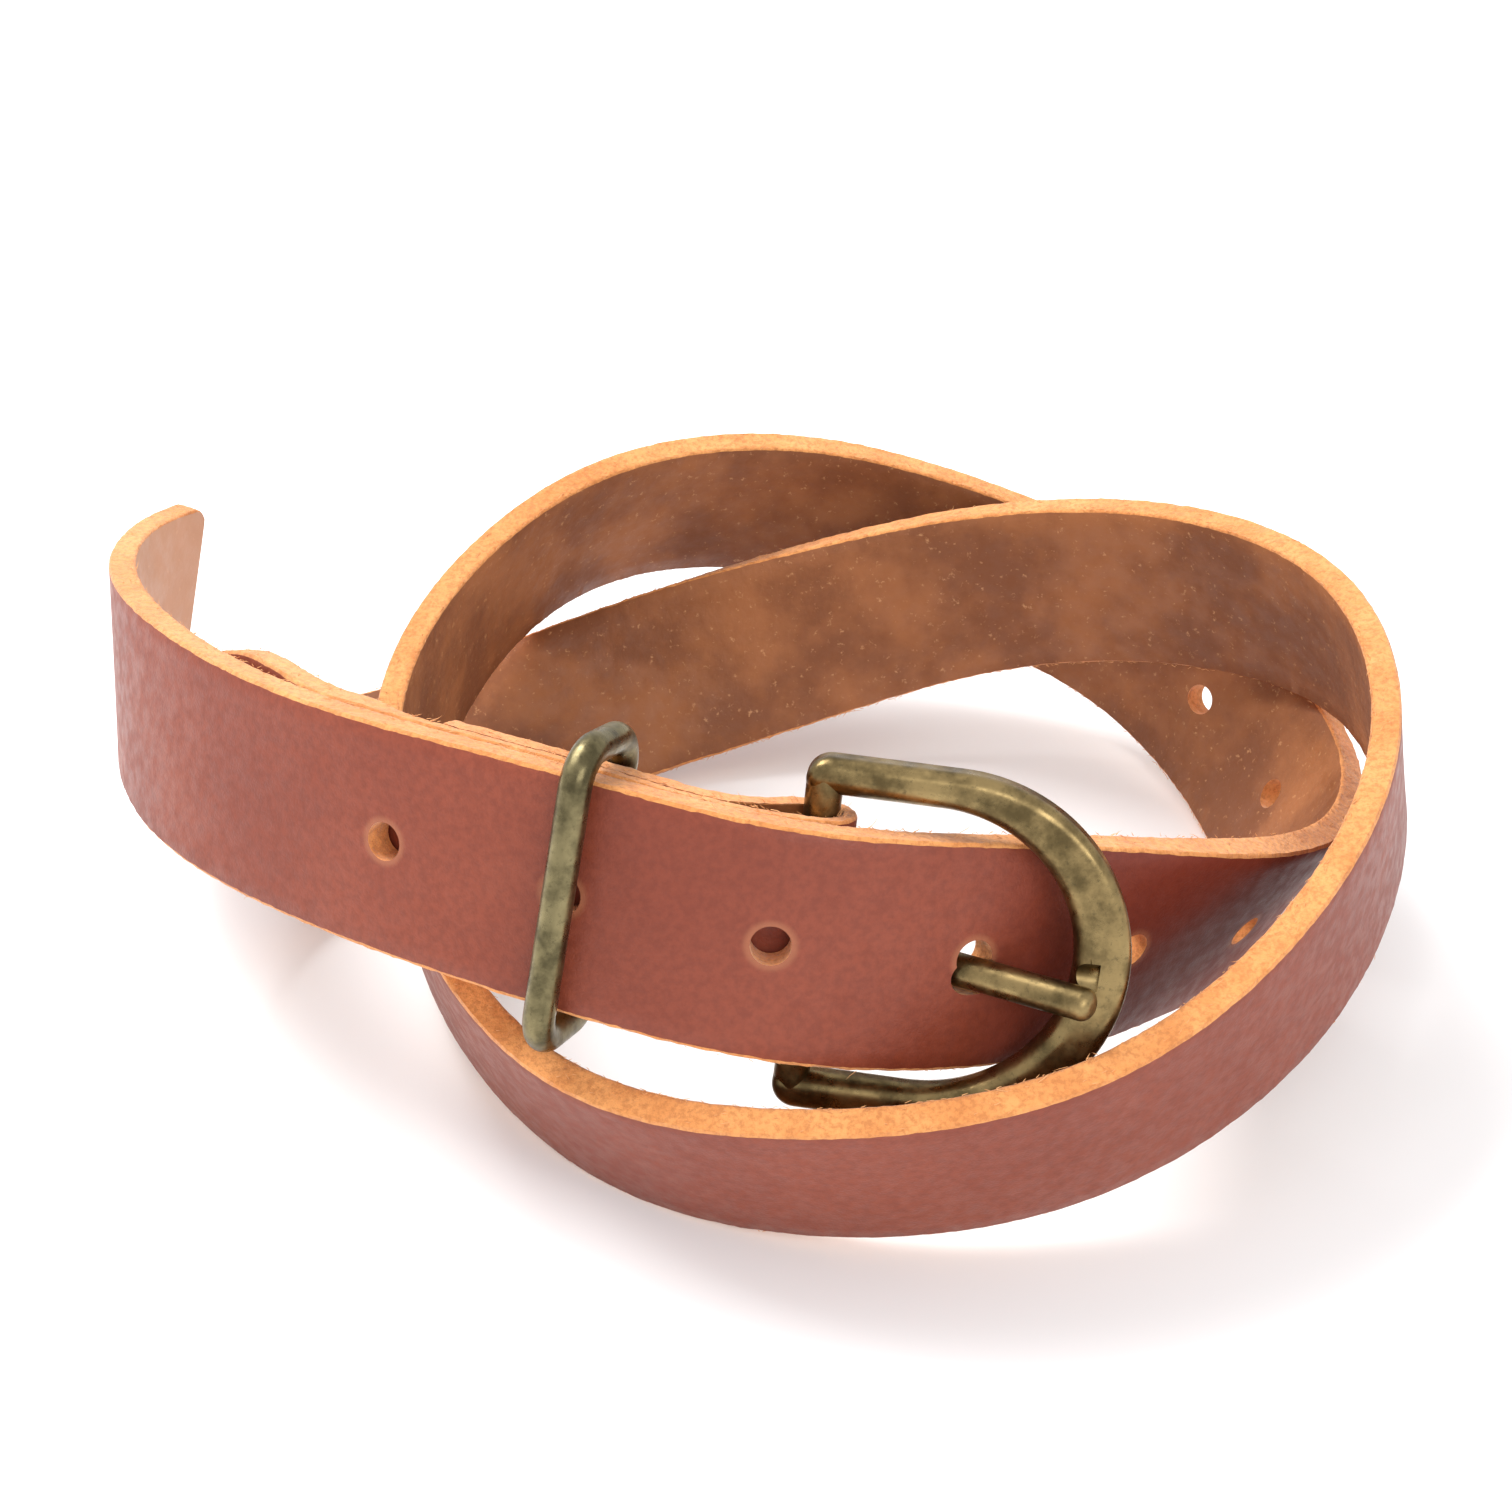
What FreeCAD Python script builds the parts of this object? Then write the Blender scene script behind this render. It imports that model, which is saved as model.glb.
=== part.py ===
import FreeCAD, Part
import math
import os

import Sketcher
from FreeCAD import Placement, Rotation, Vector

doc = FreeCAD.newDocument("leather_belt")

# Driving sizes, in millimetres and degrees.
SIZES = (
    ("strap_width", 30.0),
    ("strap_thick", 3.9),
    ("tip_corner", 2.5),
    ("ply_thick", 1.95),
    ("ply_gap", 0.3),
    ("fold_length", 54.0),
    ("hole_dia", 5.0),
    ("hole_pitch", 25.4),
    ("first_hole", 112.2),
    ("hole_count", 9.0),
    ("bar_station", 168.8),
    ("bar_dia", 4.5),
    ("bar_gap", 0.6),
    ("eye_clearance", 0.1),
    ("frame_room", 3.2),
    ("frame_length", 41.6),
    ("frame_arm", 4.8),
    ("frame_front", 6.9),
    ("frame_depth", 4.6),
    ("frame_yaw", 29.0),
    ("frame_skew", 4.5),
    ("frame_shift", -1.2),
    ("notch_depth", 1.0),
    ("prong_dia", 4.2),
    ("prong_clearance", 0.3),
    ("prong_lift", 0.7),
    ("prong_swing", 1.2),
    ("frame_swing", 0.8),
    ("swing_spare", 0.7),
    ("keeper_station", 138.3),
    ("keeper_wire", 4.0),
    ("keeper_clearance", 0.6),
    ("keeper_drop", 0.3),
    ("keeper_tilt", 0.5),
    ("rivet_dia", 3.0),
    ("rivet_head", 6.0),
    ("rivet_spacing", 16.0),
    ("lap_gap", 0.5),
)
sizes = doc.addObject("Spreadsheet::Sheet", "sizes")
for row, (name, value) in enumerate(SIZES, 1):
    sizes.set("A%d" % row, name)
    sizes.set("B%d" % row, str(value))
    sizes.setAlias("B%d" % row, name)
doc.recompute()


def size(name):
    return float(sizes.get(name))


WIDTH = size("strap_width")
THICK = size("strap_thick")
PLY = size("ply_thick")
LAP = THICK + size("lap_gap")
EYE = size("bar_dia") / 2 + size("eye_clearance")

# Fixed details, in millimetres.
SECTION_STEP = 7.0
FOLD_STEP = 3.5
CHORD_REACH = 36.0
SKEW_LENGTH = 34.0
GAP_LENGTH = 26.0
OPEN_LENGTH = 16.0
SLOT_LENGTH = 13.0
SLOT_BACK = 6.0
SLOT_DEPTH = 14.0
SLOT_WIDTH = 6.6
SLOT_ROOM = 0.3
RING_WIDTH = 5.0
RING_BORE_ROOM = 0.1
RING_WALL = 1.8
KEEPER_SIDE_ROOM = 1.6
POST_ROOM = 0.05
HEAD_ROOM = 0.1
HEAD_POCKET = 0.9
NOTCH_RADIUS = 2.0
NOTCH_WIDTH = 5.0
NOTCH_INSET = 0.6
Z = Vector(0, 0, 1)

# The strap's resting route from the tip: x, y, z of its middle line, and its lean in degrees
# (how far the top edge tips toward the flesh side).
ROUTE = (
    (-95, 2, 32, 10),
    (-95, -31, 39, 7),
    (-80, -59, 44, 17),
    (-56, -81, 48, 18),
    (-27, -97, 50, 21),
    (5, -105, 47, 18),
    (37, -95, 38, 9),
    (61, -79, 28, -13),
    (79, -54, 17, -24),
    (82, -21, 14, -27),
    (65, 5, 21, -4),
    (36, 18, 30, 6),
    (4, 21, 38, 17),
    (-26, 10, 40, 22),
    (-46, -16, 35, 11),
    (-52, -47, 28, -2),
    (-43, -78, 19.5, -11),
    (-22, -102, 14, -21),
    (9, -113, 16, -19),
    (42, -109.5, 20.5, -13),
    (69, -93, 29, -2),
    (86, -67, 39, 9),
    (87, -34, 44, 20),
    (68, -9, 40, 12),
    (38, 3, 32, 0),
    (7, 4, 22, -17),
    (-25, -1, 12.5, -43),
    (-53, -17, 10, -57),
    (-72, -34, 15, -42),
    (-77, -49, 29, -6),
)


class Ribbon:
    """A smooth middle line with a lean angle, measured by the distance along it."""

    def __init__(self, stations):
        points = [Vector(*row[:3]) for row in stations]
        marks = [0.0]
        for first, second in zip(points, points[1:]):
            marks.append(marks[-1] + first.distanceToPoint(second))
        self.line = Part.BSplineCurve()
        self.line.interpolate(Points=points, Parameters=marks)
        self.lean = Part.BSplineCurve()
        tilts = [Vector(mark, row[3], 0) for mark, row in zip(marks, stations)]
        self.lean.interpolate(Points=tilts, Parameters=marks)
        self.length = self.line.length()

    def axes(self, distance):
        """Point, direction, grain normal and up direction at a distance from the tip."""
        mark = self.line.parameterAtDistance(distance, self.line.FirstParameter)
        along = Vector(*self.line.tangent(mark)[0]).normalize()
        side = along.cross(Z).normalize()
        rise = side.cross(along)
        lean = math.radians(self.lean.value(mark).y)
        normal = side * math.cos(lean) + rise * math.sin(lean)
        up = rise * math.cos(lean) - side * math.sin(lean)
        return self.line.value(mark), along, normal, up


def stations_behind(panel, starts):
    """Stations for the strap that closes in behind the panel, one lap away on its flesh side."""
    rows = []
    for start, extra in starts:
        point, along, normal, up = panel.axes(start)
        spot = point - normal * (LAP + extra)
        side = along.cross(Z).normalize()
        lean = math.degrees(math.asin(max(-1.0, min(1.0, normal.dot(side.cross(along))))))
        rows.append((spot.x, spot.y, spot.z, lean))
    return rows


panel = Ribbon(ROUTE[:12])
BAR_AT = size("bar_station")

# The buckle's own frame: X from the bar to the curved front, Y to the flesh side, Z up the bar.
# The buckle end sits a little askew behind the panel, turned about its own face.
bar_point, panel_along, bar_normal, panel_up = panel.axes(BAR_AT)
skew = Rotation(bar_normal, size("frame_skew"))
bar_along = skew.multVec(panel_along)
bar_up = skew.multVec(panel_up)
chord = panel.axes(BAR_AT + CHORD_REACH)[0] - bar_point
chord = (chord - bar_up * chord.dot(bar_up)).normalize()
BAR_BACK = THICK / 2 + size("bar_gap") + PLY + EYE
buckle_x = Rotation(bar_up, -size("frame_yaw")).multVec(chord)
buckle_z = bar_up
buckle_y = buckle_z.cross(buckle_x)
bar_centre = bar_point - bar_normal * BAR_BACK


def placement_from(origin, x_axis, y_axis, z_axis):
    return Placement(origin, Rotation(x_axis, y_axis, z_axis, "XYZ"))


buckle_place = placement_from(bar_centre + buckle_z * size("frame_shift"), buckle_x, buckle_y, buckle_z)


# The whole strap: the route, the lap behind the panel, the turn round the bar and the return ply.
LAP_STARTS = ((78, 1.5), (89, 0.4), (100, 0.0))
LAP_END = LAP_STARTS[-1][0]
SKIVE_FROM, SKIVE_TO = 101.0, 112.0
TURN_STEPS = 12
coil = Ribbon(list(ROUTE) + stations_behind(panel, LAP_STARTS))


def ease(value, start, end):
    """0 before start, 1 after end, smooth between."""
    ratio = max(0.0, min(1.0, (value - start) / (end - start)))
    return ratio * ratio * (3 - 2 * ratio)


def fold_axes(reach):
    """Point, normal and up behind the panel, turning gradually to the bar's own directions."""
    point, along, normal, up = panel.axes(reach)
    share = ease(reach, BAR_AT - SKEW_LENGTH, BAR_AT)
    turn = Rotation(normal, size("frame_skew") * share)
    sweep = (reach - BAR_AT) * math.radians(size("frame_skew")) * share
    return point + up * sweep * 0.5, normal, turn.multVec(up)


def fold_grain(reach):
    """How far the fold's grain face lies behind the panel's middle."""
    lift = ease(reach, BAR_AT - GAP_LENGTH, BAR_AT) * (size("bar_gap") - size("lap_gap"))
    return THICK / 2 + size("lap_gap") + lift


def section(point, up, normal, grain, flesh):
    """Four corners of the strap's section, with both faces measured along the normal."""
    half = up * (WIDTH / 2)
    return (
        point - half + normal * grain,
        point + half + normal * grain,
        point + half + normal * flesh,
        point - half + normal * flesh,
    )


def strap_sections():
    rows = []
    steps = int(coil.length / SECTION_STEP)
    for step in range(steps + 1):
        point, along, normal, up = coil.axes(coil.length * step / steps)
        rows.append(section(point, up, normal, THICK / 2, -THICK / 2))
    # The ply that runs up to the bar, thinned on its flesh side.
    front_steps = int((BAR_AT - LAP_END) / FOLD_STEP)
    for step in range(1, front_steps + 1):
        reach = LAP_END + (BAR_AT - LAP_END) * step / front_steps
        point, normal, up = fold_axes(reach)
        grain = -fold_grain(reach)
        thick = THICK + (PLY - THICK) * ease(reach, SKIVE_FROM, SKIVE_TO)
        rows.append(section(point, up, normal, grain, grain - thick))
    # Half a turn round the bar.
    for step in range(1, TURN_STEPS + 1):
        angle = math.pi * step / TURN_STEPS
        out = bar_normal * math.cos(angle) + bar_along * math.sin(angle)
        rows.append(section(bar_centre, bar_up, out, EYE + PLY, EYE))
    # The return ply behind it, to the end of the fold.
    back_steps = int(size("fold_length") / FOLD_STEP)
    for step in range(1, back_steps + 1):
        reach = BAR_AT - size("fold_length") * step / back_steps
        point, normal, up = fold_axes(reach)
        open_up = ease(reach, BAR_AT - OPEN_LENGTH, BAR_AT) * (2 * EYE - size("ply_gap"))
        flesh = -(fold_grain(reach) + PLY + size("ply_gap") + open_up)
        rows.append(section(point, up, normal, flesh - PLY, flesh))
    return rows


def ribbon_solid(rows, patch=7):
    """A solid strip through the sections: four ruled sides, in patches, and two ends."""
    marks = [0.0]
    for first, second in zip(rows, rows[1:]):
        gap = sum(a.distanceToPoint(b) for a, b in zip(first, second)) / 4
        marks.append(marks[-1] + gap)
    curves = []
    for index in range(4):
        curve = Part.BSplineCurve()
        curve.interpolate(Points=[row[index] for row in rows], Parameters=marks)
        curves.append(curve)
    breaks = marks[:max(1, len(marks) - patch // 2):patch] + [marks[-1]]
    faces = []
    for start, end in zip(breaks, breaks[1:]):
        edges = [curve.toShape(start, end) for curve in curves]
        faces += [Part.makeRuledSurface(edges[index], edges[(index + 1) % 4]) for index in range(4)]
    for row in (rows[0], rows[-1]):
        faces.append(Part.Face(Part.makePolygon(list(row) + [row[0]])))
    shell = Part.makeShell(faces)
    shell.sewShape()
    solid = Part.Solid(shell)
    if solid.Volume < 0:
        solid.reverse()
    return solid


# The prong's middle line in the buckle's frame, from the ring on the bar to the tip.
PRONG_REST = -(size("frame_depth") + size("prong_dia")) / 2 - size("prong_lift")
PRONG_PATH = ((3.4, 0.5), (14.0, 3.0), (35.2, PRONG_REST))
PRONG_Z = -2.6


def swung(shape, degrees):
    """The shape swung away from the strap about the bar."""
    moved = shape.copy()
    moved.rotate(bar_centre, bar_up, -degrees)
    return moved


def rod(points, radius):
    """A round rod along a chain of points, with round joints and ends."""
    parts = []
    for first, second in zip(points, points[1:]):
        reach = second - first
        parts.append(Part.makeCylinder(radius, reach.Length, first, reach))
    parts += [Part.makeSphere(radius, point) for point in points]
    return parts[0].fuse(parts[1:])


def hole_cutter(reach):
    point, along, normal, up = coil.axes(reach)
    start = point - normal * (0.6 * THICK)
    return Part.makeCylinder(size("hole_dia") / 2, 1.2 * THICK, start, normal)


# Rivets stand in two rows, one each side of the keeper loop, through both plies of the fold.
RIVET_ROWS = (BAR_AT - 20.0, BAR_AT - 48.0)


def rivet_places():
    places = []
    for reach in RIVET_ROWS:
        point, normal, up = fold_axes(reach)
        for side in (-0.5, 0.5):
            spot = point - normal * fold_grain(reach) + up * (side * size("rivet_spacing"))
            places.append(placement_from(spot, up.cross(normal), normal * -1.0, up))
    return places


def strap_solid():
    body = ribbon_solid(strap_sections())
    ends = [edge for edge in body.Edges if edge.Length < THICK * 1.2]
    tip = coil.axes(0.0)[0]
    ends = [edge for edge in ends if edge.CenterOfMass.distanceToPoint(tip) < WIDTH]
    body = body.makeFillet(size("tip_corner"), ends)
    cutters = [hole_cutter(size("first_hole") + index * size("hole_pitch"))
               for index in range(int(size("hole_count")))]
    # The way the prong takes through its hole, wide enough for its whole swing.
    rail = [buckle_place.multVec(Vector(x, y, PRONG_Z)) for x, y in PRONG_PATH[1:3]]
    total = size("prong_swing") + size("frame_swing") + size("swing_spare")
    radius = size("prong_dia") / 2 + size("prong_clearance")
    passage = rod(rail, radius)
    for part in range(4):
        cutters.append(swung(passage, total * part / 3))
    # The slot for the prong's ring, through both plies and round the bar.
    slot_corner = Vector(-SLOT_BACK, -EYE - PLY - SLOT_ROOM, PRONG_Z - SLOT_WIDTH / 2)
    slot = Part.makeBox(SLOT_LENGTH, SLOT_DEPTH, SLOT_WIDTH, slot_corner)
    slot.Placement = buckle_place
    cutters.append(slot)
    for place in rivet_places():
        start = Vector(0, -1, 0)
        post = Part.makeCylinder(size("rivet_dia") / 2 + POST_ROOM, 3 * THICK, start, Vector(0, 1, 0))
        head = Part.makeCylinder(size("rivet_head") / 2 + HEAD_ROOM, 1 + HEAD_POCKET, start, Vector(0, 1, 0))
        for tool in (post, head):
            tool.Placement = place
            cutters.append(tool)
    return body.cut(cutters).Solids[0]


strap = doc.addObject("Part::Feature", "strap")
strap.Label = "strap"
strap.Shape = strap_solid()


def origin_plane(body, role):
    return next(item for item in body.Origin.OriginFeatures if item.Role == role)


def add_body(name, place):
    body = doc.addObject("PartDesign::Body", name)
    body.Label = name
    body.Placement = place
    return body


def add_sketch(body, name, role, offset=None):
    sketch = body.newObject("Sketcher::SketchObject", name)
    sketch.AttachmentSupport = (origin_plane(body, role), "")
    sketch.MapMode = "FlatFace"
    if offset is not None:
        sketch.AttachmentOffset = Placement(offset, Rotation())
    return sketch


def add_circle(sketch, radius_text):
    """A circle about the sketch's origin, its radius bound to the sizes."""
    edge = sketch.addGeometry(Part.Circle(Vector(), Z, 1.0), False)
    sketch.addConstraint(Sketcher.Constraint("Coincident", edge, 3, -1, 1))
    mark = sketch.addConstraint(Sketcher.Constraint("Radius", edge, 1.0))
    sketch.setExpression("Constraints[%d]" % mark, radius_text)


def add_chain(sketch, pieces):
    """Lines and three-point arcs joined end to end into a closed outline."""
    for piece in pieces:
        ends = [Vector(x, y, 0) for x, y in piece]
        if len(ends) == 2:
            sketch.addGeometry(Part.LineSegment(*ends), False)
        else:
            sketch.addGeometry(Part.Arc(*ends), False)
    return sketch


# Buckle frame: two arms and a curved front, with the bar between the arms.
INNER = WIDTH / 2 + size("frame_room")
OUTER = INNER + size("frame_arm")
HEEL = -2.3
TURN = size("frame_length") + HEEL - OUTER
INNER_TURN = size("frame_length") + HEEL - size("frame_front") - INNER
ROUND = 3.0
DIAG = math.sqrt(0.5)
NOOK = ROUND * (1 - DIAG)

frame = add_body("buckle_frame", buckle_place)
outline = add_sketch(frame, "frame_outline", "XZ_Plane")
add_chain(outline, (
    ((HEEL + ROUND, OUTER), (TURN, OUTER)),
    ((TURN, OUTER), (TURN + OUTER, 0), (TURN, -OUTER)),
    ((TURN, -OUTER), (HEEL + ROUND, -OUTER)),
    ((HEEL + ROUND, -OUTER), (HEEL + NOOK, -OUTER + NOOK), (HEEL, -OUTER + ROUND)),
    ((HEEL, -OUTER + ROUND), (HEEL, -INNER)),
    ((HEEL, -INNER), (INNER_TURN, -INNER)),
    ((INNER_TURN, -INNER), (INNER_TURN + INNER, 0), (INNER_TURN, INNER)),
    ((INNER_TURN, INNER), (HEEL, INNER)),
    ((HEEL, INNER), (HEEL, OUTER - ROUND)),
    ((HEEL, OUTER - ROUND), (HEEL + NOOK, OUTER - NOOK), (HEEL + ROUND, OUTER)),
))
pad = frame.newObject("PartDesign::Pad", "frame_pad")
pad.Profile = outline
pad.Midplane = True
pad.setExpression("Length", "sizes.frame_depth")
doc.recompute()


def edges_where(feature, test):
    return ["Edge%d" % number for number, edge in enumerate(feature.Shape.Edges, 1) if test(edge)]


def on_face(edge, level):
    return all(abs(vertex.Y - level) < 1e-4 for vertex in edge.Vertexes)


def is_inner(edge):
    middle = edge.valueAt((edge.FirstParameter + edge.LastParameter) / 2)
    if middle.x < INNER_TURN:
        return abs(middle.z) < INNER + 0.01
    return math.hypot(middle.x - INNER_TURN, middle.z) < INNER + 0.01


FRONT = -size("frame_depth") / 2
INNER_ROUND = 2.4
OUTER_ROUND = 1.6
BACK_ROUND = 1.3
inside = frame.newObject("PartDesign::Fillet", "frame_inner_round")
inside.Base = (pad, edges_where(pad, lambda e: on_face(e, FRONT) and is_inner(e)
                                and e.BoundBox.XMax > HEEL + 0.1))
inside.Radius = INNER_ROUND
doc.recompute()
outside = frame.newObject("PartDesign::Fillet", "frame_outer_round")
outside.Base = (inside, edges_where(inside, lambda e: on_face(e, FRONT) and not is_inner(e)
                                    and e.BoundBox.XMax > HEEL + 0.1))
outside.Radius = OUTER_ROUND
doc.recompute()
back = frame.newObject("PartDesign::Fillet", "frame_back_round")
back.Base = (outside, edges_where(outside, lambda e: on_face(e, -FRONT)))
back.Radius = BACK_ROUND

bar_sketch = add_sketch(frame, "bar_outline", "XY_Plane")
add_circle(bar_sketch, "sizes.bar_dia / 2")
bar = frame.newObject("PartDesign::Pad", "bar")
bar.Profile = bar_sketch
bar.Midplane = True
bar.setExpression("Length", "sizes.strap_width + 2 * sizes.frame_room + sizes.frame_arm")

# The notch where the prong may rest, on the inner side of the front.
notch_sketch = add_sketch(frame, "notch_outline", "YZ_Plane", Vector(0, 0, INNER_TURN + INNER + NOTCH_INSET))
notch_centre = Vector(FRONT - NOTCH_RADIUS + size("notch_depth"), 0, 0)
notch_sketch.addGeometry(Part.Circle(notch_centre, Z, NOTCH_RADIUS), False)
notch = frame.newObject("PartDesign::Pocket", "notch")
notch.Profile = notch_sketch
notch.Midplane = True
notch.Length = NOTCH_WIDTH

# Prong: a ring round the bar and a bent rod that comes through the hole and rests on the front.
prong = add_body("prong", buckle_place)
ring_sketch = add_sketch(prong, "ring_outline", "XY_Plane", Vector(0, 0, PRONG_Z))
add_circle(ring_sketch, "sizes.bar_dia / 2 + %g" % RING_BORE_ROOM)
add_circle(ring_sketch, "sizes.bar_dia / 2 + %g" % (RING_BORE_ROOM + RING_WALL))
ring = prong.newObject("PartDesign::Pad", "ring")
ring.Profile = ring_sketch
ring.Midplane = True
ring.Length = RING_WIDTH
path_sketch = add_sketch(prong, "rod_path", "XY_Plane", Vector(0, 0, PRONG_Z))
rod_path = [Vector(x, y, 0) for x, y in PRONG_PATH]
BEND = 3.0


def bend_points(before, knee, after):
    """Start, middle and end of a round bend at a knee, at equal distances from it."""
    start = knee + (before - knee).normalize() * BEND
    end = knee + (after - knee).normalize() * BEND
    into = (knee - before).normalize()
    out = (after - knee).normalize()
    half = into.getAngle(out) / 2
    radius = BEND / math.tan(half)
    inward = ((before - knee).normalize() + (after - knee).normalize()).normalize()
    centre = knee + inward * (BEND / math.sin(half))
    return start, centre - inward * radius, end


rod_bend = bend_points(*rod_path)
path_sketch.addGeometry([
    Part.LineSegment(rod_path[0], rod_bend[0]),
    Part.Arc(*rod_bend),
    Part.LineSegment(rod_bend[2], rod_path[2]),
], False)
rod_sketch = add_sketch(prong, "rod_section", "YZ_Plane", Vector(0, 0, rod_path[0].x))
rod_sketch.addGeometry(Part.Circle(Vector(rod_path[0].y, PRONG_Z, 0), Z, size("prong_dia") / 2), False)
rod_pipe = prong.newObject("PartDesign::AdditivePipe", "rod")
rod_pipe.Profile = rod_sketch
rod_pipe.Spine = (path_sketch, [])
doc.recompute()
tip_round = prong.newObject("PartDesign::Fillet", "rod_tip")
tip_round.Base = (rod_pipe, edges_where(rod_pipe, lambda e: e.BoundBox.XMin > rod_path[2].x - 1.5))
tip_round.Radius = size("prong_dia") / 2 - 0.6

# Keeper loop: a wire bent to a rounded rectangle round the panel and the fold.
loop_point, loop_along, loop_normal, loop_up = panel.axes(size("keeper_station"))
STACK = THICK + size("lap_gap") + 2 * PLY + size("ply_gap")
loop_centre = loop_point + loop_normal * (THICK / 2 - STACK / 2) - loop_up * size("keeper_drop")
loop_place = placement_from(loop_centre, loop_along, loop_up.cross(loop_along), loop_up)
tilt = Placement(Vector(), Rotation(Vector(0, 1, 0), size("keeper_tilt")))
keeper = add_body("keeper_loop", loop_place.multiply(tilt))
WIRE = size("keeper_wire") / 2
HALF_Y = STACK / 2 + size("keeper_clearance") + WIRE
HALF_Z = WIDTH / 2 + KEEPER_SIDE_ROOM + WIRE
CORNER = 4.2
bend = CORNER * (1 - DIAG)
loop_sketch = add_sketch(keeper, "loop_path", "YZ_Plane")
add_chain(loop_sketch, (
    ((-HALF_Y, -HALF_Z + CORNER), (-HALF_Y, HALF_Z - CORNER)),
    ((-HALF_Y, HALF_Z - CORNER), (-HALF_Y + bend, HALF_Z - bend), (-HALF_Y + CORNER, HALF_Z)),
    ((-HALF_Y + CORNER, HALF_Z), (HALF_Y - CORNER, HALF_Z)),
    ((HALF_Y - CORNER, HALF_Z), (HALF_Y - bend, HALF_Z - bend), (HALF_Y, HALF_Z - CORNER)),
    ((HALF_Y, HALF_Z - CORNER), (HALF_Y, -HALF_Z + CORNER)),
    ((HALF_Y, -HALF_Z + CORNER), (HALF_Y - bend, -HALF_Z + bend), (HALF_Y - CORNER, -HALF_Z)),
    ((HALF_Y - CORNER, -HALF_Z), (-HALF_Y + CORNER, -HALF_Z)),
    ((-HALF_Y + CORNER, -HALF_Z), (-HALF_Y + bend, -HALF_Z + bend), (-HALF_Y, -HALF_Z + CORNER)),
))
wire_sketch = add_sketch(keeper, "wire_section", "XY_Plane")
wire_sketch.addGeometry(Part.Circle(Vector(0, -HALF_Y, 0), Z, WIRE), False)
loop_pipe = keeper.newObject("PartDesign::AdditivePipe", "loop")
loop_pipe.Profile = wire_sketch
loop_pipe.Spine = (loop_sketch, [])
doc.recompute()


def turned(points, place):
    """A solid turned about the Y axis from a half outline given as radius and height."""
    chain = [Vector(radius, height, 0) for radius, height in points]
    face = Part.Face(Part.makePolygon(chain + [chain[0]]))
    solid = face.revolve(Vector(), Vector(0, 1, 0), 360)
    solid.Placement = place
    return solid


# Rivets: a post with a sunk head on the grain side, and a cap over its end on the flesh side.
POST = size("rivet_dia") / 2
HEAD = size("rivet_head") / 2
FOLD_THICK = 2 * PLY + size("ply_gap")
POST_OUTLINE = (
    (0, 0.15), (HEAD - 0.4, 0.15), (HEAD, 0.4), (HEAD, 0.85),
    (POST, 0.85), (POST, FOLD_THICK + 0.8), (0, FOLD_THICK + 0.8),
)
CAP_OUTLINE = (
    (POST + POST_ROOM, FOLD_THICK + 0.25), (HEAD + 0.5, FOLD_THICK + 0.25), (HEAD + 0.5, FOLD_THICK + 0.6),
    (HEAD - 0.3, FOLD_THICK + 1.25), (0, FOLD_THICK + 1.6), (0, FOLD_THICK + 0.85),
    (POST + POST_ROOM, FOLD_THICK + 0.85),
)
for name, points in (("rivet_posts", POST_OUTLINE), ("rivet_caps", CAP_OUTLINE)):
    group = doc.addObject("Part::Feature", name)
    group.Label = name
    group.Shape = Part.makeCompound([turned(points, place) for place in rivet_places()])

# Set the finished belt on the floor, with its bounding box centred on the origin.
NODES = ("strap", "buckle_frame", "prong", "keeper_loop", "rivet_posts", "rivet_caps")
doc.recompute()
parts = [doc.getObject(name) for name in NODES]
box = Part.makeCompound([item.Shape for item in parts]).BoundBox
shift = Vector(-box.Center.x, -box.Center.y, -box.ZMin)
for item in parts:
    place = item.Placement
    place.move(shift)
    item.Placement = place
doc.recompute()

os.makedirs("parts", exist_ok=True)
for item in doc.Objects:
    if "Invalid" in item.State or "Error" in item.State:
        raise RuntimeError("%s did not compute" % item.Label)
for item in parts:
    if item.Shape.isNull() or not item.Shape.isValid():
        raise RuntimeError("%s has no valid shape" % item.Label)
    item.Shape.exportStep("parts/%s.step" % item.Label)
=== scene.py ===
"""Leather belt in a loose double coil: pebbled strap with raw edges, antique brass buckle and keeper."""

import math
import random

import bpy
import numpy as np
from mathutils import Matrix, Quaternion, Vector, noise


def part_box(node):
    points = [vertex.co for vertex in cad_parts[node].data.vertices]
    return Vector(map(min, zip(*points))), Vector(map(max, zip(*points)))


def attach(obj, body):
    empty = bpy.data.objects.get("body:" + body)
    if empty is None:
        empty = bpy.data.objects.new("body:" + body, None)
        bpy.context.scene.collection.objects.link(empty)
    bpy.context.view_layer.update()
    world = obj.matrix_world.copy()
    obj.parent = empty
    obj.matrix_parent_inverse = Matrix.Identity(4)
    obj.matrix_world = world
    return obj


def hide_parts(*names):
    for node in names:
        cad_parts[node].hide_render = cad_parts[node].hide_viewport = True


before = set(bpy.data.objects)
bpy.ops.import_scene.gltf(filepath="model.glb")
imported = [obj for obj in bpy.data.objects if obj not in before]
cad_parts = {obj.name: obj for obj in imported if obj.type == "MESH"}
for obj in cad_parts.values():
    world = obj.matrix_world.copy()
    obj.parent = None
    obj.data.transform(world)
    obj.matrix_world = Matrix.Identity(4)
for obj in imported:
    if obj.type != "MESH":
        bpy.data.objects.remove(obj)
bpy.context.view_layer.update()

MM = 0.001

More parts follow.
